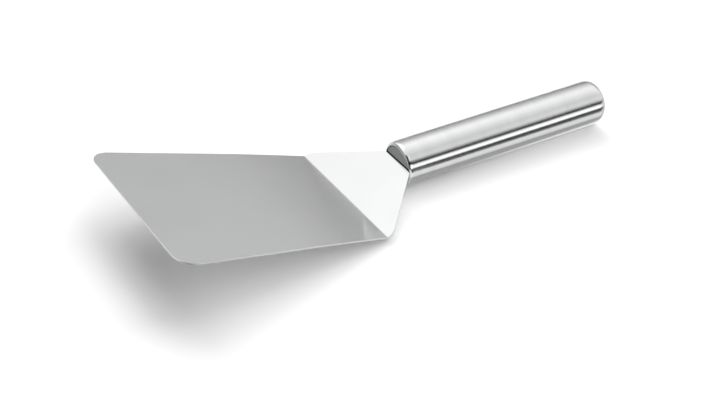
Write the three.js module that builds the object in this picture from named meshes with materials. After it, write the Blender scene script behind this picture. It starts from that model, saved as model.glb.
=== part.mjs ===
// Griddle spatula: one bent steel sheet welded into a closed tube handle.
// Millimetres, +Z up, +X from the blade's front edge towards the handle's rear end.
// The spatula lies on a table along its handle, which outweighs the blade and holds it clear of the table.
// The origin is on the table under the middle of the spatula.
import * as THREE from 'three';

// Handle tube
const HANDLE_DIAMETER = 25;
const HANDLE_LENGTH = 132.5;
const TUBE_WALL = 1.5;
const TUBE_MOUTH_ROUND = 0.8;

// Rear cap: a pressed cup whose spigot sits in the bore
const REAR_CAP_DEPTH = 8;
const REAR_CAP_ROUND = 6.5;
const REAR_CAP_WALL = 1.5;
const REAR_CAP_SPIGOT = 6;

// Half-moon caps in the mouth, above and below the tang
const FRONT_CAP_RECESS = 0.3;
const FRONT_CAP_THICKNESS = 1.5;

// Sheet: lengths run along its upper face, widths across it
const SHEET_THICKNESS = 0.8;
const BEND_INNER_RADIUS = 1.5;
const BLADE_LENGTH = 124;
const BLADE_FRONT_WIDTH = 111.4;
const BLADE_BEND_WIDTH = 87.7;
const BLADE_CORNER_RADIUS = 10;
const BLADE_SWEEP_FROM_BEND = 32;
const BLADE_SWEEP_RADIUS = 1800;
const NECK_LENGTH = 34.5;
const NECK_SHOULDER_FROM_BEND = 4;
const NECK_SHOULDER_RADIUS = 8;
const NECK_END_WIDTH = 25;
const NECK_END_FROM_MOUTH = 0.4;
const TANG_LENGTH = 45;
const TANG_TOP_ABOVE_AXIS = 1.75;

// Bend angles
const BLADE_TO_NECK = THREE.MathUtils.degToRad(35.3);
const NECK_TO_HANDLE = THREE.MathUtils.degToRad(18);
const BLADE_SWEEP = THREE.MathUtils.degToRad(1.5);

// Welds along the tang's edges, behind the caps
const WELD_LENGTH = 10;
const WELD_LEG = 2;

// Clearance between neighbouring pieces
const FIT = 0.2;

// Finishes of the bare steel
const BRUSHED_SHEET = { color: 0xbfc1c2, roughness: 0.38 };
const BRUSHED_TUBE = { color: 0xc9cbcc, roughness: 0.3 };
const CAP_STEEL = { color: 0x9b9d9f, roughness: 0.42 };
const WELD_STEEL = { color: 0x8a8c8e, roughness: 0.55 };

// Facets
const ROUND_SEGMENTS = 48;
const ARC_STEPS = 6;

// Sizes that follow from the ones above
const HANDLE_RADIUS = HANDLE_DIAMETER / 2;
const BORE_RADIUS = HANDLE_RADIUS - TUBE_WALL;
const TANG_UNDER_ABOVE_AXIS = TANG_TOP_ABOVE_AXIS - SHEET_THICKNESS;
const TANG_WIDEST_HEIGHT = Math.max(Math.abs(TANG_TOP_ABOVE_AXIS), Math.abs(TANG_UNDER_ABOVE_AXIS));
const TANG_HALF_WIDTH = boreHalfWidth(TANG_WIDEST_HEIGHT) - FIT;
const REAR_CAP_SEAM = HANDLE_LENGTH - REAR_CAP_DEPTH;
const SPIGOT_RADIUS = BORE_RADIUS - FIT;

// Half the width of the bore at a height above the handle's axis.
function boreHalfWidth(height) {
  return Math.sqrt(BORE_RADIUS ** 2 - height ** 2);
}

// A point that lies a distance away from another, in the direction of an angle.
function stepFrom(point, distance, angle) {
  return new THREE.Vector2(Math.cos(angle), Math.sin(angle)).multiplyScalar(distance).add(point);
}

// A corner of a line, and the radius of the arc that rounds it.
function corner(x, y, radius = 0) {
  return { at: new THREE.Vector2(x, y), radius };
}

// The points of a line through corners, each corner turned by an arc of its own radius.
function roundedLine(corners) {
  return corners.flatMap(({ at, radius }, i) => {
    if (radius === 0) return [at];
    const back = corners[i - 1].at.clone().sub(at).normalize();
    const ahead = corners[i + 1].at.clone().sub(at).normalize();
    const half = back.angleTo(ahead) / 2;
    const turn = (Math.PI - 2 * half) * Math.sign(ahead.cross(back));
    const centre = back.clone().add(ahead).setLength(radius / Math.sin(half)).add(at);
    const start = back.clone().setLength(radius / Math.tan(half)).add(at);
    const steps = Array.from({ length: ARC_STEPS + 1 }, (_, step) => (turn * step) / ARC_STEPS);
    return steps.map((angle) => start.clone().rotateAround(centre, angle));
  });
}

// The line that runs a distance to the right of another line.
function lineBeside(line, distance) {
  return line.map((point, i) => {
    const before = line[Math.max(i - 1, 0)];
    const after = line[Math.min(i + 1, line.length - 1)];
    const into = (i > 0 ? point.clone().sub(before) : after.clone().sub(point)).normalize();
    const out = (i < line.length - 1 ? after.clone().sub(point) : into.clone()).normalize();
    const along = into.clone().add(out).normalize();
    return new THREE.Vector2(along.y, -along.x).multiplyScalar(distance / along.dot(into)).add(point);
  });
}

// The place of a value among rising stops, as the stop before it and the share of the step to the next.
function placeAmong(stops, value) {
  const next = stops.findIndex((stop, i) => i > 0 && stop >= value);
  const last = next < 1 ? stops.length - 1 : next;
  const share = (value - stops[last - 1]) / (stops[last] - stops[last - 1]);
  return { before: last - 1, share: THREE.MathUtils.clamp(share, 0, 1) };
}

// A closed body through four-cornered sections.
function loft(sections) {
  const corners = sections.flat();
  const index = [0, 1, 2, 0, 2, 3];
  for (let i = 0; i < sections.length - 1; i += 1) {
    for (let k = 0; k < 4; k += 1) {
      const here = 4 * i + k;
      const beside = 4 * i + ((k + 1) % 4);
      index.push(here, here + 4, beside + 4, here, beside + 4, beside);
    }
  }
  const end = corners.length - 4;
  index.push(end, end + 2, end + 1, end, end + 3, end + 2);
  const geometry = new THREE.BufferGeometry().setFromPoints(corners);
  geometry.setIndex(index);
  geometry.computeVertexNormals();
  return geometry;
}

// Side view of the sheet's upper face, from the blade's front edge to the end of the tang.
// The handle's axis is the x axis and the tube's mouth is at x = 0.
const mouthCorner = new THREE.Vector2(0, TANG_TOP_ABOVE_AXIS);
const bendCorner = stepFrom(mouthCorner, NECK_LENGTH, Math.PI + NECK_TO_HANDLE);
const bladeRise = Math.PI + NECK_TO_HANDLE - BLADE_TO_NECK;
const sweepCorner = stepFrom(bendCorner, BLADE_SWEEP_FROM_BEND, bladeRise);
const bladeFront = stepFrom(sweepCorner, BLADE_LENGTH - BLADE_SWEEP_FROM_BEND, bladeRise + BLADE_SWEEP);
const upperFace = roundedLine([
  corner(bladeFront.x, bladeFront.y),
  corner(sweepCorner.x, sweepCorner.y, BLADE_SWEEP_RADIUS),
  corner(bendCorner.x, bendCorner.y, BEND_INNER_RADIUS),
  corner(mouthCorner.x, mouthCorner.y, BEND_INNER_RADIUS + SHEET_THICKNESS),
  corner(TANG_LENGTH, TANG_TOP_ABOVE_AXIS),
]);
const lowerFace = lineBeside(upperFace, SHEET_THICKNESS);

// Outline of the flat sheet: x is the distance from the front edge, y is half the width there.
const sideSlope = (BLADE_FRONT_WIDTH - BLADE_BEND_WIDTH) / 2 / BLADE_LENGTH;
const shoulderHalfWidth = BLADE_BEND_WIDTH / 2 - sideSlope * NECK_SHOULDER_FROM_BEND;
const outline = roundedLine([
  corner(0, 0),
  corner(0, BLADE_FRONT_WIDTH / 2, BLADE_CORNER_RADIUS),
  corner(BLADE_LENGTH + NECK_SHOULDER_FROM_BEND, shoulderHalfWidth, NECK_SHOULDER_RADIUS),
  corner(BLADE_LENGTH + NECK_LENGTH - NECK_END_FROM_MOUTH, NECK_END_WIDTH / 2),
  corner(BLADE_LENGTH + NECK_LENGTH - NECK_END_FROM_MOUTH / 2, TANG_HALF_WIDTH),
  corner(BLADE_LENGTH + NECK_LENGTH + TANG_LENGTH, TANG_HALF_WIDTH),
]).slice(1);

// The sheet's sections, one wherever the side view or the outline turns
const faceStops = [0];
upperFace.slice(1).forEach((point, i) => faceStops.push(faceStops[i] + point.distanceTo(upperFace[i])));
const outlineStops = outline.map((point) => point.x);
const sheetEnd = faceStops[faceStops.length - 1];
const innerStops = outlineStops.filter((stop) => stop > 0 && stop < sheetEnd);
const sheetStops = [...new Set([...faceStops, ...innerStops])].sort((a, b) => a - b);
const sheetSections = sheetStops.map((stop) => {
  const side = placeAmong(faceStops, stop);
  const edge = placeAmong(outlineStops, stop);
  const upper = upperFace[side.before].clone().lerp(upperFace[side.before + 1], side.share);
  const lower = lowerFace[side.before].clone().lerp(lowerFace[side.before + 1], side.share);
  const half = outline[edge.before].clone().lerp(outline[edge.before + 1], edge.share).y;
  return [
    new THREE.Vector3(upper.x, -half, upper.y),
    new THREE.Vector3(upper.x, half, upper.y),
    new THREE.Vector3(lower.x, half, lower.y),
    new THREE.Vector3(lower.x, -half, lower.y),
  ];
});

// Tube section, going round its wall: radius and distance from the mouth
const tubeSection = roundedLine([
  corner(BORE_RADIUS, 0),
  corner(HANDLE_RADIUS, 0, TUBE_MOUTH_ROUND),
  corner(HANDLE_RADIUS, REAR_CAP_SEAM),
  corner(BORE_RADIUS, REAR_CAP_SEAM),
  corner(BORE_RADIUS, 0),
]);

// Rear cap section, from the middle of the cup's floor round to the middle of its end face
const rearCapSeat = REAR_CAP_SEAM + FIT;
const spigotFront = rearCapSeat - REAR_CAP_SPIGOT;
const rearCapSection = roundedLine([
  corner(0, HANDLE_LENGTH - REAR_CAP_WALL),
  corner(SPIGOT_RADIUS - REAR_CAP_WALL, HANDLE_LENGTH - REAR_CAP_WALL, REAR_CAP_ROUND),
  corner(SPIGOT_RADIUS - REAR_CAP_WALL, spigotFront),
  corner(SPIGOT_RADIUS, spigotFront),
  corner(SPIGOT_RADIUS, rearCapSeat),
  corner(HANDLE_RADIUS, rearCapSeat),
  corner(HANDLE_RADIUS, HANDLE_LENGTH, REAR_CAP_ROUND),
  corner(0, HANDLE_LENGTH),
]);

// A half-moon that fills the bore above a height, or below it when seen upside down.
function halfMoon(height) {
  const start = Math.asin(height / SPIGOT_RADIUS);
  const shape = new THREE.Shape();
  shape.absarc(0, 0, SPIGOT_RADIUS, start, Math.PI - start, false);
  shape.closePath();
  return shape;
}

// A fillet of weld in the corner between the tang's underside and the bore, on one side.
function weldFillet(side) {
  const top = TANG_UNDER_ABOVE_AXIS - FIT;
  const foot = top - WELD_LEG;
  const wallAtTop = boreHalfWidth(top) - FIT;
  const wallAtFoot = boreHalfWidth(foot) - FIT;
  const innermost = Math.min(wallAtTop, wallAtFoot) - WELD_LEG;
  return new THREE.Shape([
    new THREE.Vector2(side * innermost, top),
    new THREE.Vector2(side * wallAtFoot, foot),
    new THREE.Vector2(side * wallAtTop, top),
  ]);
}

// A named piece of stainless steel.
function steelPiece(name, geometry, finish) {
  const material = new THREE.MeshStandardMaterial({ ...finish, metalness: 1 });
  const piece = new THREE.Mesh(geometry, material);
  piece.name = name;
  return piece;
}

// A round piece, turned about the handle's axis, with a flat facet at the bottom for the table.
function turnedPiece(name, section, finish) {
  const geometry = new THREE.LatheGeometry(section, ROUND_SEGMENTS, Math.PI / ROUND_SEGMENTS);
  const piece = steelPiece(name, geometry, finish);
  piece.rotation.z = -Math.PI / 2;
  return piece;
}

// A piece cut square across the handle's axis, from a distance behind the mouth.
function crossPiece(name, shape, start, length, finish) {
  const options = { depth: length, bevelEnabled: false, curveSegments: ROUND_SEGMENTS / 2 };
  const piece = steelPiece(name, new THREE.ExtrudeGeometry(shape, options), finish);
  piece.rotation.set(Math.PI / 2, Math.PI / 2, 0);
  piece.position.x = start;
  return piece;
}

// Pieces, in the handle's own frame
const handleFrame = new THREE.Group();
handleFrame.add(steelPiece('blade', loft(sheetSections), BRUSHED_SHEET));
handleFrame.add(turnedPiece('handle_tube', tubeSection, BRUSHED_TUBE));
handleFrame.add(turnedPiece('rear_cap', rearCapSection, BRUSHED_TUBE));

// The lower half-moon is the upper one's shape turned upside down
const upperMoon = halfMoon(TANG_TOP_ABOVE_AXIS + FIT);
const lowerMoon = halfMoon(FIT - TANG_UNDER_ABOVE_AXIS);
const lowerCap = crossPiece('front_cap_lower', lowerMoon, FRONT_CAP_RECESS, FRONT_CAP_THICKNESS, CAP_STEEL);
lowerCap.rotation.x = -Math.PI / 2;
handleFrame.add(crossPiece('front_cap_upper', upperMoon, FRONT_CAP_RECESS, FRONT_CAP_THICKNESS, CAP_STEEL));
handleFrame.add(lowerCap);

const weldStart = FRONT_CAP_RECESS + FRONT_CAP_THICKNESS + FIT;
handleFrame.add(crossPiece('tang_weld_left', weldFillet(1), weldStart, WELD_LENGTH, WELD_STEEL));
handleFrame.add(crossPiece('tang_weld_right', weldFillet(-1), weldStart, WELD_LENGTH, WELD_STEEL));

// The whole spatula, moved so that the origin is under its middle on the table
const spatula = new THREE.Group();
spatula.add(handleFrame);
const bounds = new THREE.Box3().setFromObject(spatula, true);
const middle = bounds.getCenter(new THREE.Vector3());
handleFrame.position.set(-middle.x, -middle.y, -bounds.min.z);
spatula.updateMatrixWorld(true);

export default spatula;
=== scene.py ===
from math import atan2, cos, hypot, pi, radians, sin, tan

import bmesh
import bpy
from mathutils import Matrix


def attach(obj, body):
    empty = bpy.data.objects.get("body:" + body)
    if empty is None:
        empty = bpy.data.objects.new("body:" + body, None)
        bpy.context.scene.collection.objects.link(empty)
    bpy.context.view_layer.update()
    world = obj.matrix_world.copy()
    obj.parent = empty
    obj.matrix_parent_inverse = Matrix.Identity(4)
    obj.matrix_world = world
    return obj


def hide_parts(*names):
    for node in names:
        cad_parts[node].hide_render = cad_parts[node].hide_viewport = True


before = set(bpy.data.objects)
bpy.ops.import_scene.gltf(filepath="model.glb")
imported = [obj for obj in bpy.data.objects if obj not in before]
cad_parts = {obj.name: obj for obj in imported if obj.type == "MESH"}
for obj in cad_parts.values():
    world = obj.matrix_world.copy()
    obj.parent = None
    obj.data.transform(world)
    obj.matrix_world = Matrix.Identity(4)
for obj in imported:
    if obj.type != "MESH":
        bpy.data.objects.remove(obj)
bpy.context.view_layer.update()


# Bent sheet
# One stainless sheet, cut to outline and bent twice on a press brake: a flared blade, a tapered neck
# and a straight tang that the handle hides. Its cut edges are eased, and its faces have a fine satin
# brush along the blade.
sheet_thickness = 0.0008
blade_length = 0.124
blade_front_width = 0.1114
blade_bend_width = 0.0877
blade_corner_radius = 0.010
blade_sweep_from_bend = 0.032
blade_sweep_length = 0.0471
blade_sweep = radians(1.5)
blade_to_neck = radians(35.3)
neck_length = 0.0345
neck_shoulder_from_bend = 0.004
neck_shoulder_radius = 0.008
neck_end_width = 0.025
neck_end_from_mouth = 0.0004
neck_to_handle = radians(18)
tang_length = 0.045
tang_width = 0.02132
tang_top = 0.00175
bend_inner_radius = 0.0015
brake_margin = 0.0004
edge_ease = 0.0002
eased_from = radians(50)
flat_smooth = radians(8)

# Middle of the handle's mouth in the spatula as it lies on the table along its handle
mouth_x = 0.0098028
mouth_z = 0.0124732

# Slack for choosing points by their place
hair = 1e-6


def pick(piece, test):
    bpy.ops.mesh.select_all(action="DESELECT")
    work = bmesh.from_edit_mesh(piece.data)
    for vertex in work.verts:
        vertex.select = test(vertex.co)
    work.select_flush_mode()
    bmesh.update_edit_mesh(piece.data)


def apply_modifier(piece, kind, **settings):
    modifier = piece.modifiers.new(kind.lower(), kind)
    for name, value in settings.items():
        setattr(modifier, name, value)
    bpy.ops.object.modifier_apply(modifier=modifier.name)


def lay_on_table(piece):
    piece.location = (mouth_x, 0, mouth_z)
    bpy.ops.object.transform_apply(location=True, rotation=True, scale=True)


# Flat blank, with the mouth of the handle at x = 0
blade_middle_x = -neck_length - blade_length / 2
front_x = -neck_length - blade_length
shoulder_x = neck_shoulder_from_bend - neck_length
side_slope = (blade_front_width - blade_bend_width) / blade_length
shoulder_width = blade_bend_width - side_slope * neck_shoulder_from_bend
taper_run = neck_length - neck_shoulder_from_bend - neck_end_from_mouth

bpy.ops.object.select_all(action="DESELECT")
bpy.ops.mesh.primitive_plane_add(size=1, location=(0, 0, 0))
sheet = bpy.context.object
sheet.name = "bent_sheet"
sheet.data.name = "bent_sheet"
bpy.ops.object.mode_set(mode="EDIT")
bpy.ops.transform.resize(value=(blade_length, blade_bend_width, 1))
bpy.ops.transform.translate(value=(blade_middle_x, 0, 0))
pick(sheet, lambda place: place.x < blade_middle_x)
bpy.ops.transform.resize(value=(1, blade_front_width / blade_bend_width, 1))
pick(sheet, lambda place: place.x > blade_middle_x)
for step, narrowing in (
    (neck_shoulder_from_bend, shoulder_width / blade_bend_width),
    (taper_run, neck_end_width / shoulder_width),
    (neck_end_from_mouth / 2, tang_width / neck_end_width),
    (neck_end_from_mouth / 2 + tang_length, 1),
):
    bpy.ops.mesh.extrude_region_move(TRANSFORM_OT_translate={"value": (step, 0, 0)})
    bpy.ops.transform.resize(value=(1, narrowing, 1))
bpy.ops.mesh.select_all(action="SELECT")
bpy.ops.mesh.dissolve_faces()

# Rounded front corners and shoulders
front_corner_angle = pi / 2 - atan2(side_slope, 2)
corner_cut = blade_corner_radius / tan(front_corner_angle / 2)
pick(sheet, lambda place: place.x < front_x + hair)
bpy.ops.mesh.bevel(offset=corner_cut, segments=16, profile=0.5, affect="VERTICES")
taper = atan2((shoulder_width - neck_end_width) / 2, taper_run) - atan2(side_slope, 2)
shoulder_cut = neck_shoulder_radius * tan(taper / 2)
pick(sheet, lambda place: abs(place.x - shoulder_x) < hair)
bpy.ops.mesh.bevel(offset=shoulder_cut, segments=12, profile=0.5, affect="VERTICES")

# Brake lines: the slow sweep of the blade, the bend at its root and the bend at the handle's mouth
for centre, length, angle, steps in (
    (-neck_length - blade_sweep_from_bend, blade_sweep_length, -blade_sweep, 12),
    (-neck_length, bend_inner_radius * blade_to_neck, blade_to_neck, 8),
    (0.0, (bend_inner_radius + sheet_thickness) * neck_to_handle, -neck_to_handle, 6),
):
    lines = [centre + length * ((step + 0.5) / steps - 0.5) for step in range(steps)]
    for x in [lines[0] - brake_margin] + lines + [lines[-1] + brake_margin]:
        bpy.ops.mesh.select_all(action="SELECT")
        bpy.ops.mesh.bisect(plane_co=(x, 0, 0), plane_no=(1, 0, 0))
    for x in lines:
        pick(sheet, lambda place: place.x < x - hair)
        bpy.ops.transform.rotate(value=-angle / steps, orient_axis="Y", center_override=(x, 0, 0))
bpy.ops.mesh.select_all(action="SELECT")
bpy.ops.transform.translate(value=(0, 0, tang_top))
bpy.ops.object.mode_set(mode="OBJECT")
apply_modifier(sheet, "SOLIDIFY", thickness=sheet_thickness, offset=-1, use_even_offset=True)
apply_modifier(
    sheet, "BEVEL", width=edge_ease, segments=3, limit_method="ANGLE", angle_limit=eased_from
)
bpy.ops.object.shade_smooth_by_angle(angle=flat_smooth)
lay_on_table(sheet)
across = sheet.data.uv_layers.active
across.name = "brushed"
for loop in sheet.data.loops:
    spot = sheet.data.vertices[loop.vertex_index].co
    across.data[loop.index].uv = (spot.y, spot.x)


# Every steel here starts as bare metal and is given grain, tone and gloss by stretched noise
def start_steel(name):
    material = bpy.data.materials.new(name)
    material.use_nodes = True
    steel = material.node_tree.nodes["Principled BSDF"]
    steel.inputs["Metallic"].default_value = 1
    return material, material.node_tree.nodes, material.node_tree.links, steel


def stretch_gloss(nodes, links, steel, uv_map):
    steel.inputs["Anisotropic"].default_value = 1.0
    tangent = nodes.new("ShaderNodeTangent")
    tangent.direction_type = "UV_MAP"
    tangent.uv_map = uv_map
    links.new(tangent.outputs["Tangent"], steel.inputs["Tangent"])


def add_grain(nodes, links, place, scale, detail, roughness=0.5):
    space = nodes.new("ShaderNodeMapping")
    space.inputs["Scale"].default_value = scale
    links.new(place, space.inputs["Vector"])
    noise = nodes.new("ShaderNodeTexNoise")
    noise.inputs["Scale"].default_value = 1
    noise.inputs["Detail"].default_value = detail
    noise.inputs["Roughness"].default_value = roughness
    links.new(space.outputs["Vector"], noise.inputs["Vector"])
    return noise.outputs["Fac"]


def blend_tones(nodes, links, share, dark, light):
    tone = nodes.new("ShaderNodeMix")
    tone.data_type = "RGBA"
    tone.inputs["A"].default_value = dark
    tone.inputs["B"].default_value = light
    links.new(share, tone.inputs["Factor"])
    return tone.outputs["Result"]


def add_streaks(nodes, links, tone, lines, depth):
    streaks = nodes.new("ShaderNodeMix")
    streaks.data_type = "RGBA"
    streaks.blend_type = "MULTIPLY"
    streaks.inputs["Factor"].default_value = depth
    links.new(tone, streaks.inputs["A"])
    links.new(lines, streaks.inputs["B"])
    return streaks.outputs["Result"]


def set_gloss(nodes, links, steel, share, lowest, highest):
    gloss = nodes.new("ShaderNodeMapRange")
    gloss.inputs["To Min"].default_value = lowest
    gloss.inputs["To Max"].default_value = highest
    links.new(share, gloss.inputs["Value"])
    links.new(gloss.outputs["Result"], steel.inputs["Roughness"])


# Satin steel: long fine brush lines in colour, gloss and relief over slow clouds
satin, nodes, links, steel = start_steel("satin_sheet_steel")
stretch_gloss(nodes, links, steel, "brushed")
object_place = nodes.new("ShaderNodeTexCoord").outputs["Object"]
brush = add_grain(nodes, links, object_place, scale=(45, 3200, 600), detail=3, roughness=0.6)
clouds = add_grain(nodes, links, object_place, scale=(28, 28, 28), detail=2)
tone = blend_tones(
    nodes, links, clouds, dark=(0.60, 0.604, 0.606, 1), light=(0.655, 0.658, 0.66, 1)
)
streaked = add_streaks(nodes, links, tone, brush, depth=0.10)
links.new(streaked, steel.inputs["Base Color"])
set_gloss(nodes, links, steel, brush, lowest=0.17, highest=0.24)
relief = nodes.new("ShaderNodeBump")
relief.inputs["Strength"].default_value = 0.06
relief.inputs["Distance"].default_value = 0.00002
links.new(brush, relief.inputs["Height"])
links.new(relief.outputs["Normal"], steel.inputs["Normal"])
sheet.data.materials.clear()
sheet.data.materials.append(satin)
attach(sheet, "root")
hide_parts("blade")


# Handle tube
# Drawn stainless tube, cut square. The outer edge of its mouth is rounded over, and the opening is a
# flat oval with a lip that is heavier above the neck than beside it. The tube is brushed round and
# round on a belt, so that it mirrors its surroundings as sharp stripes along its length.
handle_diameter = 0.025
handle_length = 0.1325
tube_wall = 0.0015
mouth_round_length = 0.0020
mouth_round_drop = 0.0006
mouth_round_steps = 10
mouth_half_width = 0.0116
mouth_half_height = 0.0098
mouth_lip_depth = 0.003
mouth_lip_ease = 0.0001
mouth_lip_back = 0.0005
rear_cap_depth = 0.008
turned_facets = 192
turned_smooth = radians(30)
handle_radius = handle_diameter / 2
bore_radius = handle_radius - tube_wall
rear_seam = handle_length - rear_cap_depth

bpy.ops.object.select_all(action="DESELECT")
bpy.ops.mesh.primitive_cylinder_add(
    vertices=turned_facets,
    radius=handle_radius,
    depth=rear_seam - mouth_round_length,
    end_fill_type="NOTHING",
    rotation=(0, pi / 2, 0),
)
tube = bpy.context.object
tube.name = "grip_tube"
tube.data.name = "grip_tube"
bpy.ops.object.transform_apply(location=True, rotation=True, scale=True)
bpy.ops.object.mode_set(mode="EDIT")
bpy.ops.mesh.select_all(action="SELECT")
bpy.ops.transform.translate(value=((rear_seam + mouth_round_length) / 2, 0, 0))

# The mouth is rolled in, faced off flat, and the bore runs back to the rear seam
profile = []
for step in range(1, mouth_round_steps + 1):
    turn = step / mouth_round_steps * pi / 2
    rounded = handle_radius - mouth_round_drop * (1 - cos(turn))
    profile.append((mouth_round_length * (1 - sin(turn)), rounded, rounded))
profile += [
    (0.0, mouth_half_width + mouth_lip_ease, mouth_half_height + mouth_lip_ease),
    (mouth_lip_ease, mouth_half_width, mouth_half_height),
    (mouth_lip_depth, mouth_half_width, mouth_half_height),
    (mouth_lip_depth + mouth_lip_back, bore_radius, bore_radius),
    (rear_seam, bore_radius, bore_radius),
]
pick(tube, lambda place: place.x < mouth_round_length + hair)
at_x, at_width, at_height = mouth_round_length, handle_radius, handle_radius
for x, width, height in profile:
    bpy.ops.mesh.extrude_region_move(TRANSFORM_OT_translate={"value": (x - at_x, 0, 0)})
    bpy.ops.transform.resize(value=(1, width / at_width, height / at_height))
    at_x, at_width, at_height = x, width, height
pick(tube, lambda place: place.x > rear_seam - hair)
bpy.ops.mesh.bridge_edge_loops()
bpy.ops.mesh.select_all(action="SELECT")
bpy.ops.mesh.normals_make_consistent(inside=False)
bpy.ops.object.mode_set(mode="OBJECT")
bpy.ops.object.shade_smooth_by_angle(angle=turned_smooth)


# Lengthwise map of a turned piece: along its outline, then round its axis
def map_along_axis(piece, end):
    layer = piece.data.uv_layers.active
    layer.name = "turned"
    for loop in piece.data.loops:
        spot = piece.data.vertices[loop.vertex_index].co
        run = spot.x + (handle_radius - hypot(spot.y, spot.z)) * (1 if spot.x > end else -1)
        layer.data[loop.index].uv = (run, atan2(spot.y, -spot.z) * handle_radius)


map_along_axis(tube, rear_seam)
rim_faces = [face.center.x < mouth_round_length for face in tube.data.polygons]
lay_on_table(tube)

# Belt-brushed steel: rings of fine scratches round the tube, stretched gloss along it
belted, nodes, links, steel = start_steel("belt_brushed_steel")
stretch_gloss(nodes, links, steel, "turned")
wrap = nodes.new("ShaderNodeUVMap")
wrap.uv_map = "turned"
rings = add_grain(nodes, links, wrap.outputs["UV"], scale=(2600, 60, 1), detail=3, roughness=0.65)
bands = add_grain(nodes, links, wrap.outputs["UV"], scale=(160, 12, 1), detail=2)
tone = blend_tones(
    nodes, links, bands, dark=(0.60, 0.604, 0.606, 1), light=(0.66, 0.663, 0.665, 1)
)
streaked = add_streaks(nodes, links, tone, rings, depth=0.10)
links.new(streaked, steel.inputs["Base Color"])
set_gloss(nodes, links, steel, rings, lowest=0.19, highest=0.25)

# Turned rim: the rolled mouth is polished with faint tool rings
turned, nodes, links, steel = start_steel("turned_rim_steel")
wrap = nodes.new("ShaderNodeUVMap")
wrap.uv_map = "turned"
rings = add_grain(nodes, links, wrap.outputs["UV"], scale=(5000, 40, 1), detail=2)
tone = blend_tones(
    nodes, links, rings, dark=(0.60, 0.604, 0.606, 1), light=(0.66, 0.663, 0.665, 1)
)
links.new(tone, steel.inputs["Base Color"])
set_gloss(nodes, links, steel, rings, lowest=0.10, highest=0.18)
tube.data.materials.clear()
tube.data.materials.append(belted)
tube.data.materials.append(turned)
for face, is_rim in zip(tube.data.polygons, rim_faces):
    face.material_index = 1 if is_rim else 0
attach(tube, "root")
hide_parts("handle_tube")


# Rear cap
# Pressed cup with a well rounded rim, pushed into the tube's rear end by its spigot, welded round
# and brushed flush with the tube, so that no seam shows.
rear_round = 0.0065
rear_spigot = 0.006
rear_wall = 0.0015
spigot_play = 0.0002
end_face_rings = (0.0075, 0.003)
spigot_radius = bore_radius - spigot_play
cup_depth = rear_spigot + rear_cap_depth - rear_wall

bpy.ops.object.select_all(action="DESELECT")
bpy.ops.mesh.primitive_cylinder_add(
    vertices=turned_facets,
    radius=handle_radius,
    depth=rear_cap_depth,
    end_fill_type="NGON",
    rotation=(0, pi / 2, 0),
)
rear_cap = bpy.context.object
rear_cap.name = "rear_end_cap"
rear_cap.data.name = "rear_end_cap"
bpy.ops.object.transform_apply(location=True, rotation=True, scale=True)
bpy.ops.object.mode_set(mode="EDIT")
bpy.ops.mesh.select_all(action="SELECT")
bpy.ops.transform.translate(value=(rear_seam + rear_cap_depth / 2, 0, 0))
bpy.ops.mesh.select_mode(type="FACE")
pick(rear_cap, lambda place: place.x < rear_seam + hair)
bpy.ops.mesh.inset(thickness=handle_radius - spigot_radius, depth=0)
bpy.ops.mesh.extrude_region_move(TRANSFORM_OT_translate={"value": (-rear_spigot, 0, 0)})
bpy.ops.mesh.inset(thickness=rear_wall, depth=0)
bpy.ops.mesh.extrude_region_move(TRANSFORM_OT_translate={"value": (cup_depth, 0, 0)})
bpy.ops.mesh.select_mode(type="VERT")
pick(rear_cap, lambda place: place.x > handle_length - hair)
bpy.ops.mesh.select_mode(type="FACE")
for ring in end_face_rings:
    bpy.ops.mesh.inset(thickness=ring, depth=0)
bpy.ops.mesh.select_mode(type="VERT")
rim_from = handle_radius - 10 * hair
pick(
    rear_cap,
    lambda place: place.x > handle_length - hair and hypot(place.y, place.z) > rim_from,
)
bpy.ops.mesh.bevel(offset=rear_round, segments=14, affect="EDGES")
bpy.ops.object.mode_set(mode="OBJECT")
bpy.ops.object.shade_smooth_by_angle(angle=turned_smooth)
map_along_axis(rear_cap, rear_seam)
lay_on_table(rear_cap)
rear_cap.data.materials.clear()
rear_cap.data.materials.append(belted)
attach(rear_cap, "root")
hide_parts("rear_cap")


# Front caps
# Two half-moons of ground plate that fill the oval mouth above and below the tang, set just inside
# it and welded from behind. Their eased edges leave thin dark joints along the sheet and round the
# mouth. Their colour is set far darker than the other steel: painted shade for faces set back in the
# mouth.
cap_recess = 0.0002
cap_thickness = 0.0015
cap_joint = 0.0005
sheet_joint = 0.0008
cap_edge_ease = 0.00018
cap_eased_from = radians(40)
cap_half_width = mouth_half_width - cap_joint
cap_half_height = mouth_half_height - cap_joint

ground, nodes, links, steel = start_steel("shaded_cap_steel")
object_place = nodes.new("ShaderNodeTexCoord").outputs["Object"]
grind = add_grain(nodes, links, object_place, scale=(300, 300, 3000), detail=3)
# Dark tones: painted shade of the caps inside the mouth, with noise for the grinding marks
tone = blend_tones(
    nodes, links, grind, dark=(0.23, 0.232, 0.234, 1), light=(0.33, 0.332, 0.334, 1)
)
links.new(tone, steel.inputs["Base Color"])
set_gloss(nodes, links, steel, grind, lowest=0.36, highest=0.5)

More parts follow.
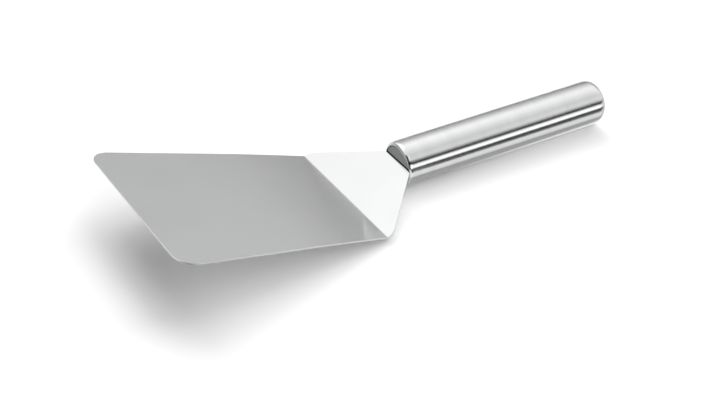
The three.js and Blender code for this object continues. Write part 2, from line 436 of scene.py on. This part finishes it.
for name, node, keep_above, chord in (
    ("upper_mouth_cap", "front_cap_upper", True, tang_top + sheet_joint),
    ("lower_mouth_cap", "front_cap_lower", False, tang_top - sheet_thickness - sheet_joint),
):
    bpy.ops.object.select_all(action="DESELECT")
    bpy.ops.mesh.primitive_cylinder_add(
        vertices=128, radius=cap_half_width, depth=cap_thickness, rotation=(0, pi / 2, 0)
    )
    cap = bpy.context.object
    cap.name = name
    cap.data.name = name
    bpy.ops.object.transform_apply(location=True, rotation=True, scale=True)
    bpy.ops.object.mode_set(mode="EDIT")
    bpy.ops.mesh.select_all(action="SELECT")
    bpy.ops.transform.translate(value=(cap_recess + cap_thickness / 2, 0, 0))
    bpy.ops.transform.resize(value=(1, 1, cap_half_height / cap_half_width))
    bpy.ops.mesh.bisect(
        plane_co=(0, 0, chord),
        plane_no=(0, 0, 1),
        use_fill=True,
        clear_inner=keep_above,
        clear_outer=not keep_above,
    )
    bpy.ops.object.mode_set(mode="OBJECT")
    apply_modifier(
        cap,
        "BEVEL",
        width=cap_edge_ease,
        segments=3,
        limit_method="ANGLE",
        angle_limit=cap_eased_from,
    )
    bpy.ops.object.shade_smooth_by_angle(angle=flat_smooth)
    lay_on_table(cap)
    cap.data.materials.clear()
    cap.data.materials.append(ground)
    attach(cap, "root")
    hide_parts(node)


# Tang welds
# Two short runs of weld inside the handle that hold the tang's edges to the bore. They are never
# seen, and keep the dull, blotched grey of steel that has been melted.
welded, nodes, links, steel = start_steel("bare_weld_steel")
object_place = nodes.new("ShaderNodeTexCoord").outputs["Object"]
blotches = add_grain(nodes, links, object_place, scale=(900, 900, 900), detail=4)
tone = blend_tones(
    nodes, links, blotches, dark=(0.20, 0.20, 0.21, 1), light=(0.40, 0.39, 0.37, 1)
)
links.new(tone, steel.inputs["Base Color"])
steel.inputs["Roughness"].default_value = 0.55
for name in ("tang_weld_left", "tang_weld_right"):
    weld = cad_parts[name]
    weld.data.materials.clear()
    weld.data.materials.append(welded)


# Table and light
# A plain white table under three soft lamps that shape the shadow and are not seen in the metal.
# The metal mirrors a studio painted by direction, and glowing cards on the table in front of the
# handle that nothing else sees, which are painted reflections. Both together draw the stripes along
# the tube.
table_side = 8

bpy.ops.object.select_all(action="DESELECT")
bpy.ops.mesh.primitive_plane_add(size=table_side, location=(0, 0, 0))
table = bpy.context.object
table.name = "table"
white = bpy.data.materials.new("white_table")
white.use_nodes = True
surface = white.node_tree.nodes["Principled BSDF"]
surface.inputs["Base Color"].default_value = (0.9, 0.9, 0.9, 1)
surface.inputs["Roughness"].default_value = 0.9
surface.inputs["Specular IOR Level"].default_value = 0
surface.inputs["Emission Color"].default_value = (1, 1, 1, 1)
surface.inputs["Emission Strength"].default_value = 0.15
table.data.materials.append(white)

world = bpy.data.worlds.new("studio")
bpy.context.scene.world = world
world.use_nodes = True
nodes = world.node_tree.nodes
links = world.node_tree.links
sky = nodes["Background"]
direction = nodes.new("ShaderNodeTexCoord").outputs["Generated"]
split = nodes.new("ShaderNodeSeparateXYZ")
links.new(direction, split.inputs["Vector"])


# The studio is painted by direction: angles over an axis, fades towards an aim, and sums of light
def angle_above(axis):
    turn = nodes.new("ShaderNodeMath")
    turn.operation = "ARCTAN2"
    links.new(split.outputs["Z"], turn.inputs[0])
    links.new(split.outputs[axis], turn.inputs[1])
    return turn.outputs["Value"]


def facing(aim):
    towards = nodes.new("ShaderNodeVectorMath")
    towards.operation = "DOT_PRODUCT"
    towards.inputs[1].default_value = aim
    links.new(direction, towards.inputs[0])
    return towards.outputs["Value"]


def fade(value, start, end, kind="SMOOTHSTEP", low=0, high=1):
    slope = nodes.new("ShaderNodeMapRange")
    slope.interpolation_type = kind
    slope.inputs["From Min"].default_value = start
    slope.inputs["From Max"].default_value = end
    slope.inputs["To Min"].default_value = low
    slope.inputs["To Max"].default_value = high
    links.new(value, slope.inputs["Value"])
    return slope.outputs["Result"]


def scaled(colour, amount):
    scale = nodes.new("ShaderNodeVectorMath")
    scale.operation = "SCALE"
    scale.inputs["Scale"].default_value = amount
    links.new(colour, scale.inputs[0])
    return scale


def added(colour, light):
    total = nodes.new("ShaderNodeVectorMath")
    links.new(colour, total.inputs[0])
    links.new(light, total.inputs[1])
    return total.outputs["Vector"]


def mixed(share, kind="MIX"):
    mix = nodes.new("ShaderNodeMix")
    mix.data_type = "RGBA"
    mix.blend_type = kind
    links.new(share, mix.inputs["Factor"])
    return mix


# Levels over the handle, from low behind it, by way of overhead, to low in front of it. The stripes
# turn a little along the tube.
studio_peak = 2.3
slant = fade(split.outputs["X"], 0.44, 0.56, "LINEAR", low=radians(4.8), high=radians(-6))
turned_by = nodes.new("ShaderNodeMath")
links.new(angle_above("Y"), turned_by.inputs[0])
links.new(slant, turned_by.inputs[1])
studio = nodes.new("ShaderNodeValToRGB")
stops = studio.color_ramp.elements
for angle, level in (
    (0, 0.42),
    (20, 0.504),
    (35, 0.672),
    (41, 0.83),
    (46, 1.03),
    (58, 1.42),
    (72, 1.55),
    (90, 1.34),
    (112, 1.06),
    (133, 1.22),
    (148, 1.22),
    (153, 0.52),
    (157, 0.03),
    (169, 0.06),
    (173, 1.9),
    (177, 2.3),
    (180, 2.3),
):
    stop = stops.new(angle / 180)
    stop.color = (level / studio_peak, level / studio_peak, level / studio_peak, 1)
stops.remove(stops[0])
stops.remove(stops[-1])
links.new(fade(turned_by.outputs["Value"], 0, pi, "LINEAR"), studio.inputs["Fac"])
overhead = scaled(studio.outputs["Color"], studio_peak)

# Back wall: it gives the blade its slow change from dark at the bend to pale at the front
wall_peak = 2.25
wall_from = 15
wall_to = 35
wall = nodes.new("ShaderNodeValToRGB")
stops = wall.color_ramp.elements
for angle, level in (
    (17.3, 0.0),
    (20.3, 0.036),
    (22.3, 0.57),
    (24.3, 1.52),
    (26.8, 2.25),
    (28.7, 2.18),
    (31.3, 2.25),
    (35, 1.0),
):
    stop = stops.new((angle - wall_from) / (wall_to - wall_from))
    stop.color = (level / wall_peak, level / wall_peak, level / wall_peak, 1)
stops[-1].color = (1 / wall_peak, 1 / wall_peak, 1 / wall_peak, 1)
stops.remove(stops[0])
wall_share = fade(angle_above("X"), radians(wall_from), radians(wall_to), "LINEAR")
links.new(wall_share, wall.inputs["Fac"])
graded = mixed(fade(split.outputs["Y"], 0.3, 0.5), "MULTIPLY")
links.new(overhead.outputs["Vector"], graded.inputs["A"])
links.new(scaled(wall.outputs["Color"], wall_peak).outputs["Vector"], graded.inputs["B"])

# Soft box over the neck, a panel beside it, and a dark corner that rings the mouth
over_neck = facing((-0.292, 0.62, 0.726))
softbox = fade(over_neck, cos(radians(44)), cos(radians(22)), high=0.50)
beside = facing((-0.76, 0.60, 0.25))
side_panel = fade(beside, cos(radians(40)), cos(radians(15)), high=0.8)
lit = added(added(graded.outputs["Result"], softbox), side_panel)
dark_corner = nodes.new("ShaderNodeMath")
dark_corner.operation = "MULTIPLY"
links.new(fade(split.outputs["X"], 0.25, -0.05), dark_corner.inputs[0])
links.new(fade(facing((0, 1, 1.5)), 0.98, 0.80), dark_corner.inputs[1])
shaded = scaled(lit, 1)
dimmed = fade(dark_corner.outputs["Value"], 0, 1, "LINEAR", low=1, high=0.06)
links.new(dimmed, shaded.inputs["Scale"])

# The metal sees the studio, the camera sees plain white, and the rest sees next to nothing
ray = nodes.new("ShaderNodeLightPath")
for_metal = mixed(ray.outputs["Is Glossy Ray"])
for_metal.inputs["A"].default_value = (0.05, 0.05, 0.05, 1)
links.new(shaded.outputs["Vector"], for_metal.inputs["B"])
for_camera = mixed(ray.outputs["Is Camera Ray"])
for_camera.inputs["B"].default_value = (1, 1, 1, 1)
links.new(for_metal.outputs["Result"], for_camera.inputs["A"])
links.new(for_camera.outputs["Result"], sky.inputs["Color"])
sky.inputs["Strength"].default_value = 1

# Cards on the table, from the one under the tube to the far ones, with their level and corners. They
# glow and only the metal sees them. They are painted reflections: a painted highlight line along the
# tube's lower edge, a painted shaded strip of table by its foot, and the pale and dark stripes.
card_height = 0.0004
blank_half = 10
blank_corners = (
    (-blank_half, blank_half),
    (-blank_half, -blank_half),
    (blank_half, -blank_half),
    (blank_half, blank_half),
)
for name, glow, corners in (
    ("limb_highlight_card", 1.4, ((0.04, -0.0066), (0.04, -0.007), (0.17, -0.0105), (0.17, -0.005))),
    ("foot_shade_card", 0.55, ((0.012, -0.0095), (0.012, -0.0198), (0.21, -0.0168), (0.21, -0.0125))),
    ("pale_card", 1.2, ((0.012, -0.02), (0.012, -0.0386), (0.21, -0.031), (0.21, -0.017))),
    ("dark_card", 0.06, ((0.02, -0.0383), (0.02, -0.176), (0.21, -0.104), (0.21, -0.031))),
    ("bright_card", 2.3, ((0.02, -0.176), (0.8, -3.0), (4.5, -3.0), (0.21, -0.104))),
    ("dark_side_card", 0.06, ((-1.0, -0.13), (-1.0, -3.0), (0.8, -3.0), (0.02, -0.11))),
):
    bpy.ops.object.select_all(action="DESELECT")
    bpy.ops.mesh.primitive_plane_add(size=2 * blank_half, location=(0, 0, card_height))
    card = bpy.context.object
    card.name = name
    bpy.ops.object.transform_apply(location=True)
    bpy.ops.object.mode_set(mode="EDIT")
    for (from_x, from_y), (to_x, to_y) in zip(blank_corners, corners):
        pick(card, lambda place: abs(place.x - from_x) < 1 and abs(place.y - from_y) < 1)
        bpy.ops.transform.translate(value=(to_x - from_x, to_y - from_y, 0))
    bpy.ops.object.mode_set(mode="OBJECT")
    card.visible_camera = False
    card.visible_diffuse = False
    card.visible_shadow = False
    shine = bpy.data.materials.new(name)
    shine.use_nodes = True
    shine.node_tree.nodes.clear()
    emission = shine.node_tree.nodes.new("ShaderNodeEmission")
    emission.inputs["Color"].default_value = (glow, glow, glow, 1)
    output = shine.node_tree.nodes.new("ShaderNodeOutputMaterial")
    shine.node_tree.links.new(emission.outputs["Emission"], output.inputs["Surface"])
    card.data.materials.append(shine)

# Soft lamps for the shadow
for name, bearing, height, width, strength in (
    ("overhead_light", radians(6.5), radians(58), radians(50), 1.56),
    ("window_light", radians(76), radians(48), radians(38), 1.53),
    ("room_light", radians(-83), radians(49), radians(41), 1.0),
):
    bpy.ops.object.light_add(
        type="SUN", location=(0, 0, 1), rotation=(0, pi / 2 - height, bearing)
    )
    lamp = bpy.context.object
    lamp.name = name
    lamp.data.angle = width
    lamp.data.energy = strength
    lamp.visible_glossy = False


# Camera
# It stands in front of the spatula and above it, nearly level, at the photograph's viewing angle.
bpy.ops.object.camera_add(
    location=(-0.370625, -0.599636, 0.479722),
    rotation=(radians(55.1652), radians(-0.3304), radians(-30.5583)),
)
camera = bpy.context.object
camera.data.sensor_width = 36
camera.data.lens = 79.649
camera.data.clip_start = 0.01
bpy.context.scene.camera = camera
bpy.context.scene.view_settings.view_transform = "Standard"
